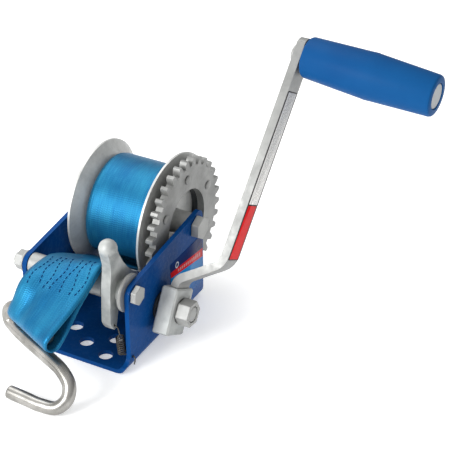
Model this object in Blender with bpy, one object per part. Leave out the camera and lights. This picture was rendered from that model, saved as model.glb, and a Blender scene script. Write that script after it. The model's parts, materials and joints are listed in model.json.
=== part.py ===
"""Hand winch for a boat trailer: a pressed-steel frame, a webbing drum driven through one gear pair, a cranked
handle, a ratchet pawl and a hook on the strap.

One object is made for each piece of the winch, in metres with +Z up. The origin is the middle of the frame's
underside, +X runs along the drum towards the gears and the handle, and +Y points away from the strap and hook.
"""

import math

import bmesh
import bpy
from mathutils import Matrix, Vector
from mathutils.geometry import tessellate_polygon

GAP = 0.0003  # left between neighbouring pieces

# Frame: one steel sheet bent into a channel
FRAME_HALF_WIDTH = 0.0450
SHEET = 0.0035
FRAME_FRONT = -0.058
FRAME_BACK = 0.058
BEND_INSIDE = 0.005
FOOT_HEIGHT = 0.014
BASE_HOLE_RADIUS = 0.0055
BASE_HOLES = ((0.0, -0.0395), (-0.0175, -0.0265), (0.0175, -0.0265), (-0.021, -0.0468), (0.021, -0.0468))

# Axes, as Y and Z; all three run along X
DRUM_AXIS = (0.0475, 0.0690)
PAWL_AXIS = (-0.0420, 0.0620)
GEAR_DISTANCE = 0.0663
DRIVE_SLOPE = math.radians(34.1)  # the line from the drum's axis down to the crank's
CRANK_AXIS = (
    DRUM_AXIS[0] - GEAR_DISTANCE * math.cos(DRIVE_SLOPE),
    DRUM_AXIS[1] - GEAR_DISTANCE * math.sin(DRIVE_SLOPE),
)
EDGE_OVER_DRUM = 0.0105  # from the drum's axis up to the frame's slanting top edge
BACK_CORNER = 0.0065
PAWL_EAR_RADIUS = 0.0085

# Drum
LEFT_FACE = -0.0278  # inner faces of the two flanges
RIGHT_FACE = 0.0242
FLANGE_SHEET = 0.0018
LEFT_FLANGE_RADIUS = 0.0485
RIGHT_FLANGE_RADIUS = 0.0526
LEFT_FLARE = 0.0082
CORE_RADIUS = 0.016
HUB_RADIUS = 0.009
DRUM_BOLT_RADIUS = 0.005
DRUM_HEXAGON = 0.016  # across flats
ROLL_RADIUS = 0.040
ROLL_INNER_RADIUS = 0.0263
STRAP_WIDTH = 0.0508
STRAP_THICKNESS = 0.0026
ANCHOR_RADIUS = 0.0217
ANCHOR_PIN_RADIUS = 0.004

# Gears
MODULE = 0.003175
PRESSURE_ANGLE = math.radians(20)
GEAR_TEETH = 31
PINION_TEETH = 10
PINION_SHIFT = 0.4
BACKLASH = 0.0003
GEAR_TOOTH = (0.80, 1.05)  # above and below the pitch circle, in modules
PINION_TOOTH = (1.27, 0.85)
TOOTH_ROUNDING = 0.00045
GEAR_BACK = 0.0314
GEAR_FRONT = 0.0371
GEAR_HOLE_RADIUS = 0.0272
GEAR_SPACER_RADIUS = 0.033
RIVET_CIRCLE = 0.0368
RIVET_COUNT = 6
RIVET_FIRST_ANGLE = math.radians(26.5)
RIVET_RADIUS = 0.0024
RIVET_HEAD_RADIUS = 0.0037
PINION_BACK = 0.0300
PINION_FRONT = 0.0386

# Crank, whose arm is set in its own plane: X outwards and the radius up
CRANK_LEAN = math.radians(30.1)
SHAFT_RADIUS = 0.008
THREAD_RADIUS = 0.006
HUB_BACK = 0.0492
HUB_FRONT = 0.0625
HUB_WIDTH = 0.027
CRANK_NUT_HEXAGON = 0.018
CRANK_NUT_HEIGHT = 0.0105
HUB_TOP = 0.0163
HUB_BOTTOM = -0.019
ARM_WIDTH = 0.0186
ARM_THICKNESS = 0.0062
ARM_PATH = ((0.0571, 0.0166), (0.0571, 0.0223), (0.0895, 0.0428), (0.1086, 0.2135))
ARM_BENDS = (0.0095, 0.0144)
PIN_REACH = 0.2003
PIN_LEAN = math.radians(3.8)
PIN_RADIUS = 0.004
GRIP_START = ARM_THICKNESS / 2 + 0.0015  # along the pin, from the arm's middle
GRIP_LENGTH = 0.0994
GRIP_END_RADIUS = 0.0150
GRIP_MIDDLE_RADIUS = 0.0171
GRIP_CAP_RADIUS = 0.0091

# Pawl
PAWL_BACK = 0.0258
PAWL_FRONT = 0.0333
PAWL_BOLT_RADIUS = 0.004
PAWL_HEXAGON = 0.013
PAWL_BOSS_RADIUS = 0.0080
KNOB_RADIUS = 0.0068
KNOB_PLACE = (-0.0077, 0.0388)
SPACER_RADIUS = 0.008
PAWL_EYE = (-0.0100, -0.0245)  # the spring's eye in the tail, from the pawl's bolt

# Spring between the pawl's tail and the right side of the frame
SPRING_WIRE_RADIUS = 0.0006
SPRING_RADIUS = 0.0028
SPRING_TURNS = 8
SPRING_HOLE = (-0.0478, 0.0112)  # its hole in the frame's right side

# Hook
HOOK_ROD_RADIUS = 0.0050
HOOK_PIVOT = Vector((-0.0070, -0.0920, 0.0488))
HOOK_AXIS = Vector((0.912, -0.408, -0.030)).normalized()

# The hook's rod after the stretch that lies in the strap's loop
HOOK_ROUTE = (
    (-0.0372, -0.0800, 0.0455),
    (-0.0366, -0.0812, 0.0380),
    (-0.0280, -0.0850, 0.0345),
    (-0.0170, -0.0895, 0.0330),
    (0.0050, -0.0966, 0.0296),
    (0.0203, -0.1018, 0.0264),
    (0.0297, -0.1073, 0.0205),
    (0.0310, -0.1128, 0.0126),
    (0.0252, -0.1176, 0.0064),
    (0.0130, -0.1190, 0.0051),
    (-0.0022, -0.1179, 0.0051),
    (-0.0153, -0.1169, 0.0051),
)

# The free strap's left and right edges, from the roll over the spacer tube and down to the hook
STRAP_EDGES = (
    ((-0.0272, 0.0263, 0.0328), (0.0236, 0.0234, 0.0346)),
    ((-0.0274, -0.0050, 0.0517), (0.0234, -0.0050, 0.0549)),
    ((-0.0278, -0.0370, 0.0707), (0.0226, -0.0350, 0.0762)),
    ((-0.0280, -0.0460, 0.0728), (0.0216, -0.0460, 0.0815)),
    ((-0.0285, -0.0570, 0.0734), (0.0220, -0.0550, 0.0785)),
    ((-0.0290, -0.0670, 0.0725), (0.0218, -0.0650, 0.0730)),
    ((-0.0300, -0.0760, 0.0675), (0.0210, -0.0780, 0.0675)),
    ((-0.0310, -0.0825, 0.0585), (0.0185, -0.0930, 0.0610)),
)
LOOP_RADIUS = 0.0068
LOOP_BACK_LENGTH = 0.020
LOOP_CLOSING = math.radians(20)  # how far past a half turn the loop goes


# ---------------------------------------------------------------- general tools


def clear_scene():
    """Remove whatever the scene holds."""
    for item in list(bpy.data.objects):
        bpy.data.objects.remove(item, do_unlink=True)


def make_empty(name, place, parent=None, turn=(0.0, 0.0, 0.0)):
    """An empty on a joint's axis, which carries the pieces that turn about it."""
    empty = bpy.data.objects.new(name, None)
    empty.location = place
    empty.rotation_euler = turn
    empty.empty_display_size = 0.02
    empty.parent = parent
    bpy.context.scene.collection.objects.link(empty)
    return empty


def make_material(name, finish):
    """A Principled material from a finish: colour, roughness and metallic value."""
    colour, roughness, metallic = finish
    made = bpy.data.materials.new(name)
    made.use_nodes = True
    shader = made.node_tree.nodes["Principled BSDF"]
    shader.inputs["Base Color"].default_value = (*colour, 1.0)
    shader.inputs["Roughness"].default_value = roughness
    shader.inputs["Metallic"].default_value = metallic
    made.diffuse_color = (*colour, 1.0)
    return made


def make_piece(name, shape, finish, parent=None):
    """Turn a bmesh into a named object with its own material, smooth except at its sharp edges."""
    bmesh.ops.recalc_face_normals(shape, faces=shape.faces[:])
    mesh = bpy.data.meshes.new(name)
    shape.to_mesh(mesh)
    shape.free()
    mesh.shade_smooth()
    mesh.set_sharp_from_angle(angle=math.radians(32))
    piece = bpy.data.objects.new(name, mesh)
    piece.parent = parent
    bpy.context.scene.collection.objects.link(piece)
    if finish:
        mesh.materials.append(make_material(name, finish))
    return piece


def combine(target, shape, operation, parent=None):
    """Cut a shape from a piece, keep only what lies in it, or join it on, through a hidden helper."""
    helper = make_piece(f"{target.name}_{operation.lower()}", shape, None, parent or target.parent)
    helper.hide_render = True
    helper.display_type = "WIRE"
    change = target.modifiers.new(helper.name, "BOOLEAN")
    change.operation = operation
    change.solver = "EXACT"
    change.object = helper


def round_edges(target, width, angle=40, steps=2):
    """Bevel the edges sharper than an angle."""
    bevel = target.modifiers.new("rounded_edges", "BEVEL")
    bevel.width = width
    bevel.segments = steps
    bevel.limit_method = "ANGLE"
    bevel.angle_limit = math.radians(angle)


def circle(radius, count, centre=(0.0, 0.0), start=0.0):
    """Points round a circle, in the YZ plane."""
    steps = [start + 2 * math.pi * i / count for i in range(count)]
    return [(centre[0] + radius * math.cos(a), centre[1] + radius * math.sin(a)) for a in steps]


def arc(centre, radius, first, last, count):
    """Points along an arc between two angles in degrees, ends included."""
    angles = [math.radians(first + (last - first) * i / count) for i in range(count + 1)]
    return [(centre[0] + radius * math.cos(a), centre[1] + radius * math.sin(a)) for a in angles]


def prism(outline, low, high, holes=(), place=lambda y, z, x: (x, y, z)):
    """A flat outline with holes, extruded along X; place says how the outline's axes lie in space."""
    shape = bmesh.new()
    loops = [list(outline), *[list(hole) for hole in holes]]
    flat = [point for loop in loops for point in loop]
    bottom = [shape.verts.new(place(*point, low)) for point in flat]
    top = [shape.verts.new(place(*point, high)) for point in flat]
    for a, b, c in tessellate_polygon([[Vector((*point, 0.0)) for point in loop] for loop in loops]):
        shape.faces.new((bottom[a], bottom[b], bottom[c]))
        shape.faces.new((top[c], top[b], top[a]))
    start = 0
    for loop in loops:
        for i in range(len(loop)):
            a = start + i
            b = start + (i + 1) % len(loop)
            shape.faces.new((bottom[a], bottom[b], top[b], top[a]))
        start += len(loop)
    return shape


def turned(profile, segments):
    """A solid of revolution about X from (x, radius) points; a profile off the axis closes into a ring."""
    shape = bmesh.new()
    rings = []
    for x, radius in profile:
        if radius == 0.0:
            rings.append([shape.verts.new((x, 0.0, 0.0))])
        else:
            rings.append([shape.verts.new((x, *point)) for point in circle(radius, segments)])
    is_ring = len(rings[0]) > 1
    pairs = list(zip(rings, rings[1:]))
    if is_ring:
        pairs.append((rings[-1], rings[0]))
    for first, second in pairs:
        for i in range(segments):
            j = (i + 1) % segments
            corners = [first[i % len(first)], first[j % len(first)]]
            corners += [second[j % len(second)], second[i % len(second)]]
            shape.faces.new(list(dict.fromkeys(corners)))
    return shape


def rod(radius, low, high, segments, chamfer=0.0):
    """A round bar along X."""
    if not chamfer:
        return turned([(low, 0.0), (low, radius), (high, radius), (high, 0.0)], segments)
    ends = [(low, 0.0), (low, radius - chamfer), (low + chamfer, radius)]
    ends += [(high - chamfer, radius), (high, radius - chamfer), (high, 0.0)]
    return turned(ends, segments)


def sleeve(outer, inner, low, high, segments):
    """A plain tube along X."""
    return turned([(low, inner), (low, outer), (high, outer), (high, inner)], segments)


def hexagon(across_flats, low, high, bore=0.0, turn=0.0):
    """A hexagonal nut or head along X, with a hole where a bore is given."""
    corner = across_flats / math.sqrt(3)
    holes = [circle(bore, 24)] if bore else []
    return prism(circle(corner, 6, start=turn), low, high, holes)


def moved(shape, y, z, x=0.0):
    """Shift a shape."""
    bmesh.ops.translate(shape, verts=shape.verts[:], vec=(x, y, z))
    return shape


def joined(*shapes):
    """Several shapes in one bmesh, for a helper or for turning parts of one sweep into one mesh."""
    whole = shapes[0]
    for other in shapes[1:]:
        mesh = bpy.data.meshes.new("joined")
        other.to_mesh(mesh)
        whole.from_mesh(mesh)
        other.free()
        bpy.data.meshes.remove(mesh)
    return whole


def smooth_curve(points, steps):
    """A Catmull-Rom curve through points, with a number of steps between neighbours."""
    points = [Vector(point) for point in points]
    ends = [2 * points[0] - points[1], *points, 2 * points[-1] - points[-2]]
    curve = []
    for a, b, c, d in zip(ends, ends[1:], ends[2:], ends[3:]):
        for i in range(steps):
            t = i / steps
            bend = (2 * a - 5 * b + 4 * c - d) * t * t + (3 * b - a - 3 * c + d) * t ** 3
            curve.append(b + ((c - a) * t + bend) / 2)
    return [*curve, points[-1]]


def tube(path, radius, sides):
    """A closed round bar along a path in space, with flat ends."""
    shape = bmesh.new()
    rings = []
    side = None
    for i, point in enumerate(path):
        ahead = (path[min(i + 1, len(path) - 1)] - path[max(i - 1, 0)]).normalized()
        if side is None:
            side = ahead.orthogonal().normalized()
        side = (side - ahead * side.dot(ahead)).normalized()
        up = ahead.cross(side)
        ring = [point + side * (radius * math.cos(a)) + up * (radius * math.sin(a)) for a in turns(sides)]
        rings.append([shape.verts.new(place) for place in ring])
    for first, second in zip(rings, rings[1:]):
        for i in range(sides):
            j = (i + 1) % sides
            shape.faces.new((first[i], first[j], second[j], second[i]))
    shape.faces.new(rings[0])
    shape.faces.new(rings[-1])
    return shape


def turns(count):
    """Evenly spaced angles round a circle."""
    return [2 * math.pi * i / count for i in range(count)]


def ribbon(stations, thickness):
    """A closed band through stations, each given by its left and right edge."""
    shape = bmesh.new()
    rings = []
    for i, (left, right) in enumerate(stations):
        before = stations[max(i - 1, 0)]
        after = stations[min(i + 1, len(stations) - 1)]
        ahead = (after[0] + after[1]) - (before[0] + before[1])
        out = (right - left).cross(ahead).normalized() * (thickness / 2)
        corners = (left + out, right + out, right - out, left - out)
        rings.append([shape.verts.new(corner) for corner in corners])
    for first, second in zip(rings, rings[1:]):
        for i in range(4):
            j = (i + 1) % 4
            shape.faces.new((first[i], first[j], second[j], second[i]))
    shape.faces.new(rings[0])
    shape.faces.new(rings[-1])
    return shape


# ---------------------------------------------------------------- finishes

BLUE_PAINT = ((0.010, 0.115, 0.430), 0.28, 0.0)
ZINC = ((0.520, 0.540, 0.520), 0.42, 0.9)
DARK_ZINC = ((0.200, 0.205, 0.200), 0.45, 0.9)
BRIGHT_STEEL = ((0.650, 0.640, 0.610), 0.22, 1.0)
SPRING_STEEL = ((0.030, 0.030, 0.030), 0.40, 0.8)
WEBBING = ((0.020, 0.250, 0.640), 0.75, 0.0)
GRIP_PLASTIC = ((0.012, 0.130, 0.460), 0.55, 0.0)
CAP_PLASTIC = ((0.320, 0.330, 0.330), 0.50, 0.0)


# ---------------------------------------------------------------- frame


def side_outline():
    """The frame's side view: a slanting top with a rounded back corner, and an ear round the pawl bolt."""
    rise = DRUM_AXIS[1] - PAWL_AXIS[1]
    run = DRUM_AXIS[0] - PAWL_AXIS[0]
    slope = math.atan2(rise, run) + math.asin((EDGE_OVER_DRUM - PAWL_EAR_RADIUS) / math.hypot(rise, run))
    turn = 90 + math.degrees(slope)
    corner_y = FRAME_BACK - BACK_CORNER
    corner_z = DRUM_AXIS[1] + (corner_y - DRUM_AXIS[0]) * math.tan(slope)
    corner_z += (EDGE_OVER_DRUM - BACK_CORNER) / math.cos(slope)
    neck = FRAME_FRONT - (PAWL_AXIS[0] - PAWL_EAR_RADIUS)
    points = [(FRAME_FRONT, 0.0), (FRAME_BACK, 0.0)]
    points += arc((corner_y, corner_z), BACK_CORNER, 0, turn, 8)
    points += arc(PAWL_AXIS, PAWL_EAR_RADIUS, turn, 180, 8)
    points += arc((FRAME_FRONT, FOOT_HEIGHT), -neck, 0, -90, 5)
    return points


def channel_section():
    """The frame's front view: a channel with rounded bends, as X and Z."""
    outer = BEND_INSIDE + SHEET
    high = 0.1
    wall = FRAME_HALF_WIDTH
    points = arc((-wall + outer, outer), outer, 180, 270, 6)
    points += arc((wall - outer, outer), outer, 270, 360, 6)
    points += [(wall, high), (wall - SHEET, high)]
    points += arc((wall - outer, outer), BEND_INSIDE, 360, 270, 6)
    points += arc((-wall + outer, outer), BEND_INSIDE, 270, 180, 6)
    points += [(-wall + SHEET, high), (-wall, high)]
    return points


def make_frame():
    """The channel, trimmed to its side view and drilled."""
    reach = FRAME_BACK + 0.01
    shape = prism(channel_section(), -reach, reach, place=lambda x, z, y: (x, y, z))
    frame = make_piece("frame", shape, BLUE_PAINT)
    wide = FRAME_HALF_WIDTH + 0.01
    combine(frame, prism(side_outline(), -wide, wide), "INTERSECT")
    drills = [moved(rod(DRUM_BOLT_RADIUS + GAP, -wide, wide, 32), *DRUM_AXIS)]
    drills.append(moved(rod(SHAFT_RADIUS + 0.0028, -wide, wide, 32), *CRANK_AXIS))
    drills.append(moved(rod(PAWL_BOLT_RADIUS + GAP, -wide, wide, 32), *PAWL_AXIS))
    drills.append(moved(rod(SPRING_WIRE_RADIUS * 2.2, 0.03, wide, 12), *SPRING_HOLE))
    for x, y in BASE_HOLES:
        drills.append(base_drill(x, y))
    combine(frame, joined(*drills), "DIFFERENCE")


def base_drill(x, y):
    """An upright cutter for one of the base's bolt holes."""
    outline = circle(BASE_HOLE_RADIUS, 28, (x, y))
    return prism(outline, -0.01, 0.012, place=lambda px, py, z: (px, py, z))


# ---------------------------------------------------------------- drum


def make_drum_core(parent):
    """The drum's tube, with a hub at each end that reaches the frame's sides."""
    bore = DRUM_BOLT_RADIUS + GAP
    inside = FRAME_HALF_WIDTH - SHEET - GAP
    profile = [(-inside, bore), (-inside, HUB_RADIUS), (LEFT_FACE + GAP, HUB_RADIUS)]
    profile += [(LEFT_FACE + GAP, CORE_RADIUS), (RIGHT_FACE - GAP, CORE_RADIUS)]
    profile += [(RIGHT_FACE - GAP, HUB_RADIUS), (inside, HUB_RADIUS), (inside, bore)]
    make_piece("drum_core", turned(profile, 32), ZINC, parent)


def flange_profile(face, outward, radius, flare):
    """A flange as (x, radius): flat round the hub, then flaring away from the strap to a rim."""
    flat = radius * 0.58
    steps = 4
    inner = []
    outer = []
    for i in range(steps + 1):
        share = i / steps
        lift = flare * share * share * (1.6 - 0.6 * share)
        out = flat + (radius - flat) * share
        inner.append((face + outward * lift, out))
        outer.append((face + outward * (lift + FLANGE_SHEET), out))
    bore = HUB_RADIUS + GAP
    return [(face, bore), *inner, *reversed(outer), (face + outward * FLANGE_SHEET, bore)]


def drilled(target, centres, radius):
    """Holes along X at places given as Y and Z."""
    shapes = [moved(rod(radius, -0.08, 0.08, 14), y, z) for y, z in centres]
    combine(target, joined(*shapes), "DIFFERENCE")


def rivet_places():
    """Where the rivets stand round the drum's axis."""
    return circle(RIVET_CIRCLE, RIVET_COUNT, start=RIVET_FIRST_ANGLE)


def make_flanges(parent):
    """The plain left flange and the right one, which carries the gear."""
    anchor = [(0.0, ANCHOR_RADIUS)]
    profile = flange_profile(LEFT_FACE, -1, LEFT_FLANGE_RADIUS, LEFT_FLARE)
    left = make_piece("left_flange", turned(profile, 56), ZINC, parent)
    drilled(left, anchor, ANCHOR_PIN_RADIUS + GAP)
    profile = flange_profile(RIGHT_FACE, 1, RIGHT_FLANGE_RADIUS, 0.0)
    corners = [profile[0], profile[5], profile[6], profile[-1]]
    right = make_piece("right_flange", turned(corners, 64), ZINC, parent)
    drilled(right, anchor, ANCHOR_PIN_RADIUS + GAP)
    rivet_holes = [moved(rod(RIVET_RADIUS + GAP, 0.0, 0.06, 14), y, z) for y, z in rivet_places()]
    combine(right, joined(*rivet_holes), "DIFFERENCE")


def tooth_angles(teeth, shift):
    """How far a tooth's flank stands from its middle line at a given radius."""
    base = MODULE * teeth / 2 * math.cos(PRESSURE_ANGLE)
    thickness = MODULE * (math.pi / 2 + 2 * shift * math.tan(PRESSURE_ANGLE)) - BACKLASH
    at_pitch = thickness / (MODULE * teeth) + involute(PRESSURE_ANGLE)

    def half_angle(radius):
        return at_pitch - involute(math.acos(min(1.0, base / radius)))

    return half_angle, base


def involute(angle):
    """The involute function."""
    return math.tan(angle) - angle


def gear_outline(teeth, shift, depths, turn):
    """A spur gear's outline with involute flanks and eased tips."""
    pitch = MODULE * teeth / 2
    tip = pitch + MODULE * depths[0]
    root = pitch - MODULE * depths[1]
    shoulder = tip - TOOTH_ROUNDING
    half_angle, base = tooth_angles(teeth, shift)
    foot = max(root + 0.0004, base)
    flank = [(radius, half_angle(radius)) for radius in (root, foot, (foot + shoulder) / 2, shoulder)]
    flank.append((tip, half_angle(shoulder) - TOOTH_ROUNDING / tip))
    points = []
    for tooth in range(teeth):
        middle = turn + 2 * math.pi * tooth / teeth
        rising = [(radius, middle - half) for radius, half in flank]
        falling = [(radius, middle + half) for radius, half in reversed(flank)]
        points += [(r * math.cos(a), r * math.sin(a)) for r, a in rising + falling]
    return points


def make_ring_gear(parent):
    """The gear on the right flange, with a tooth on the line to the pinion."""
    towards_pinion = math.pi + DRIVE_SLOPE
    holes = [circle(GEAR_HOLE_RADIUS, 48)]
    holes += [circle(RIVET_RADIUS + GAP, 12, place) for place in rivet_places()]
    outline = gear_outline(GEAR_TEETH, 0.0, GEAR_TOOTH, towards_pinion)
    make_piece("ring_gear", prism(outline, GEAR_BACK, GEAR_FRONT, holes), ZINC, parent)


def make_gear_spacer(parent):
    """The ring between the right flange and the gear."""
    low = RIGHT_FACE + FLANGE_SHEET + GAP
    ring = sleeve(GEAR_SPACER_RADIUS, GEAR_HOLE_RADIUS, low, GEAR_BACK - GAP, 48)
    make_piece("gear_spacer", ring, DARK_ZINC, parent)


def make_rivets(parent):
    """Rivets through the right flange and the gear, with low heads outside."""
    head = GEAR_FRONT + GAP
    profile = [(RIGHT_FACE + GAP, 0.0), (RIGHT_FACE + GAP, RIVET_RADIUS), (head, RIVET_RADIUS)]
    profile += [(head, RIVET_HEAD_RADIUS), (head + 0.0006, RIVET_HEAD_RADIUS * 0.9)]
    profile += [(head + 0.0011, RIVET_HEAD_RADIUS * 0.6), (head + 0.0013, 0.0)]
    for number, (y, z) in enumerate(rivet_places(), start=1):
        rivet = make_piece(f"gear_rivet_{number}", turned(profile, 14), ZINC, parent)
        rivet.location = (0.0, y, z)


def make_drum(parent):
    """Everything that turns with the drum."""
    make_drum_core(parent)
    make_flanges(parent)
    make_ring_gear(parent)
    make_gear_spacer(parent)
    make_rivets(parent)
    pin = rod(ANCHOR_PIN_RADIUS, LEFT_FACE - 0.0015, RIGHT_FACE + 0.0015, 16)
    make_piece("strap_anchor_pin", moved(pin, 0.0, ANCHOR_RADIUS), DARK_ZINC, parent)
    middle = (LEFT_FACE + RIGHT_FACE) / 2
    roll = sleeve(ROLL_RADIUS, ROLL_INNER_RADIUS, middle - STRAP_WIDTH / 2, middle + STRAP_WIDTH / 2, 64)
    make_piece("strap_roll", roll, WEBBING, parent)


def make_drum_bolt():
    """The fixed bolt that the drum runs on, with its washer and nut."""
    wall = FRAME_HALF_WIDTH + GAP
    shank = rod(DRUM_BOLT_RADIUS, -0.0585, wall + 0.002, 24, 0.0008)
    bolt = make_piece("drum_bolt", moved(shank, *DRUM_AXIS), ZINC)
    head = hexagon(DRUM_HEXAGON, wall, wall + 0.0062, turn=math.radians(24.6))
    combine(bolt, moved(head, *DRUM_AXIS), "UNION")
    washer = sleeve(0.0105, DRUM_BOLT_RADIUS + GAP, -wall - 0.0018, -wall, 32)
    make_piece("drum_bolt_washer", moved(washer, *DRUM_AXIS), ZINC)
    low = -wall - 0.0018 - GAP
    nut = hexagon(DRUM_HEXAGON, low - 0.0090, low, DRUM_BOLT_RADIUS + GAP)
    make_piece("drum_bolt_nut", moved(nut, *DRUM_AXIS), ZINC)


# ---------------------------------------------------------------- crank


def make_shaft(parent):
    """The crank's shaft, which runs in two flanged bushes and ends in a thread."""
    shoulder = HUB_FRONT - 0.0015
    end = HUB_FRONT + CRANK_NUT_HEIGHT - 0.0002
    profile = [(-0.0520, 0.0), (-0.0520, 0.0072), (-0.0512, SHAFT_RADIUS), (shoulder, SHAFT_RADIUS)]
    profile += [(shoulder, THREAD_RADIUS), (end - 0.0008, THREAD_RADIUS)]
    profile += [(end, THREAD_RADIUS - 0.0008), (end, 0.0)]
    make_piece("crank_shaft", turned(profile, 32), ZINC, parent)
    ring = sleeve(0.0115, SHAFT_RADIUS + GAP, -0.0506, -0.0490, 32)
    make_piece("shaft_retaining_ring", ring, DARK_ZINC, parent)


def make_bushes():
    """The flanged bushes in the frame's sides."""
    bore = SHAFT_RADIUS + GAP
    body = SHAFT_RADIUS + 0.0028 - GAP
    inside = FRAME_HALF_WIDTH - SHEET
    lip = FRAME_HALF_WIDTH + GAP
    rim = 0.0114
    profile = [(inside, bore), (inside, body), (lip, body), (lip, rim), (lip + 0.002, rim), (lip + 0.002, bore)]
    for name, side in (("shaft_bush_right", 1), ("shaft_bush_left", -1)):
        shape = turned([(side * x, radius) for x, radius in profile], 32)
        make_piece(name, moved(shape, *CRANK_AXIS), DARK_ZINC)


def make_pinion(parent):
    """The small gear on the shaft, with a gap between teeth on the line to the drum."""
    turn = DRIVE_SLOPE + CRANK_LEAN + math.pi / PINION_TEETH
    outline = gear_outline(PINION_TEETH, PINION_SHIFT, PINION_TOOTH, turn)
    holes = [circle(SHAFT_RADIUS + GAP, 32)]
    make_piece("pinion", prism(outline, PINION_BACK, PINION_FRONT, holes), ZINC, parent)


def make_hub(parent):
    """The block that carries the arm, and the nut that holds it on the shaft."""
    half = HUB_WIDTH / 2
    outline = [(-half, HUB_BOTTOM), (half, HUB_BOTTOM), (half, HUB_TOP), (-half, HUB_TOP)]
    block = prism(outline, HUB_BACK, HUB_FRONT, [circle(SHAFT_RADIUS + GAP, 32)])
    hub = make_piece("crank_hub", block, ZINC, parent)
    round_edges(hub, 0.0012, steps=1)
    top = HUB_FRONT + CRANK_NUT_HEIGHT
    nut = hexagon(CRANK_NUT_HEXAGON, HUB_FRONT + GAP, top, THREAD_RADIUS + GAP, turn=math.radians(24.7))
    make_piece("crank_nut", nut, ZINC, parent)


def arm_outline():
    """The arm seen from its edge, as X and radius: a bar bent out from the hub and up again."""
    path = bent_path(ARM_PATH, ARM_BENDS, 6)
    left = []
    right = []
    for i, point in enumerate(path):
        before = path[max(i - 1, 0)]
        after = path[min(i + 1, len(path) - 1)]
        ahead = (after - before).normalized()
        across = Vector((-ahead.y, ahead.x)) * (ARM_THICKNESS / 2)
        left.append(tuple(point + across))
        right.append(tuple(point - across))
    return right + left[::-1]


def bent_path(corners, radii, steps):
    """A line through corners, with an arc of a given radius at each inner one."""
    corners = [Vector(corner) for corner in corners]
    path = [corners[0]]
    for before, corner, after, radius in zip(corners, corners[1:], corners[2:], radii):
        back = (before - corner).normalized()
        ahead = (after - corner).normalized()
        half = back.angle(ahead) / 2
        centre = corner + (back + ahead).normalized() * (radius / math.sin(half))
        start = corner + back * (radius / math.tan(half))
        end = corner + ahead * (radius / math.tan(half))
        for i in range(steps + 1):
            ray = (start - centre).lerp(end - centre, i / steps).normalized()
            path.append(centre + ray * radius)
    path.append(corners[-1])
    return path


def make_arm(parent):
    """The flat bar from the hub to the grip, rounded at its outer end and drilled for the pin."""
    half = ARM_WIDTH / 2
    shape = prism(arm_outline(), -half, half, place=lambda x, radius, y: (x, y, radius))
    arm = make_piece("crank_arm", shape, ZINC, parent)
    top = PIN_REACH + 0.0124
    corner = 0.0075
    outline = [(-half - 0.001, 0.0), (half + 0.001, 0.0)]
    outline += arc((half + 0.001 - corner, top - corner), corner, 0, 90, 6)
    outline += arc((-half - 0.001 + corner, top - corner), corner, 90, 180, 6)
    combine(arm, prism(outline, 0.02, 0.14), "INTERSECT")
    combine(arm, moved(rod(PIN_RADIUS + GAP, 0.09, 0.13, 24), 0.0, PIN_REACH), "DIFFERENCE")
    round_edges(arm, 0.0007, steps=1)


def arm_x(radius):
    """The arm's middle at a distance out from the shaft, on its upper straight."""
    (x0, r0), (x1, r1) = ARM_PATH[-2:]
    return x0 + (x1 - x0) * (radius - r0) / (r1 - r0)


def make_grip_pin(pivot):
    """The pin that the grip turns on, headed at both ends."""
    back = -ARM_THICKNESS / 2 - 0.0008
    front = GRIP_START + GRIP_LENGTH - 0.0085
    profile = [(back - 0.0025, 0.0), (back - 0.0025, 0.0055), (back - 0.0012, 0.007), (back, 0.007)]
    profile += [(back, PIN_RADIUS), (front, PIN_RADIUS), (front, 0.0072), (front + 0.003, 0.0062)]
    profile += [(front + 0.003, 0.0)]
    make_piece("grip_pin", turned(profile, 24), ZINC, pivot)


def make_grip(parent):
    """The grip, fattest at its middle, and the cap in its end; both run on the pin."""
    start = GRIP_START
    end = start + GRIP_LENGTH
    middle = (start + end) / 2
    bore = PIN_RADIUS + GAP
    edge = 0.002
    pocket = GRIP_CAP_RADIUS + GAP
    floor = end - 0.0088
    profile = [(start, bore), (start, GRIP_END_RADIUS - edge)]
    profile += [(start + edge * 0.3, GRIP_END_RADIUS - edge * 0.3)]
    profile += [(start + edge, GRIP_END_RADIUS), (middle - 0.005, GRIP_MIDDLE_RADIUS - 0.0003)]
    profile += [(middle, GRIP_MIDDLE_RADIUS), (middle + 0.005, GRIP_MIDDLE_RADIUS - 0.0003)]
    profile += [(end - edge, GRIP_END_RADIUS), (end - edge * 0.3, GRIP_END_RADIUS - edge * 0.3)]
    profile += [(end, GRIP_END_RADIUS - edge), (end, pocket), (floor, pocket), (floor, bore)]
    make_piece("grip", turned(profile, 32), GRIP_PLASTIC, parent)
    cap = turned([(end - 0.003, 0.0), (end - 0.003, GRIP_CAP_RADIUS), (end - 0.0008, GRIP_CAP_RADIUS),
                  (end - 0.0004, GRIP_CAP_RADIUS - 0.0006), (end - 0.0006, 0.0)], 32)
    make_piece("grip_cap", cap, CAP_PLASTIC, parent)

# ---------------------------------------------------------------- pawl


def pawl_outline():
    """The pawl seen along its bolt: a tail below, a nose to the back and a neck up to the knob."""
    points = [(-0.0148, -0.0205), (-0.0130, -0.0245), (-0.0100, -0.0284), (-0.0072, -0.0280)]
    points += [(-0.0062, -0.0245), (-0.0040, -0.0150), (0.0040, -0.0095), (0.0120, -0.0055)]
    points += [(0.0195, -0.0025), (0.0240, 0.0000)]
    points += [(0.0238, 0.0022), (0.0190, 0.0052), (0.0151, 0.0089), (0.0112, 0.0130), (0.0050, 0.0215)]
    points += [(0.0005, 0.0300), (-0.0022, 0.0370), (-0.0116, 0.0400), (-0.0137, 0.0376), (-0.0122, 0.0320)]
    points += [(-0.0108, 0.0260), (-0.0112, 0.0200), (-0.0132, 0.0080), (-0.0143, -0.0080)]
    return points


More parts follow.
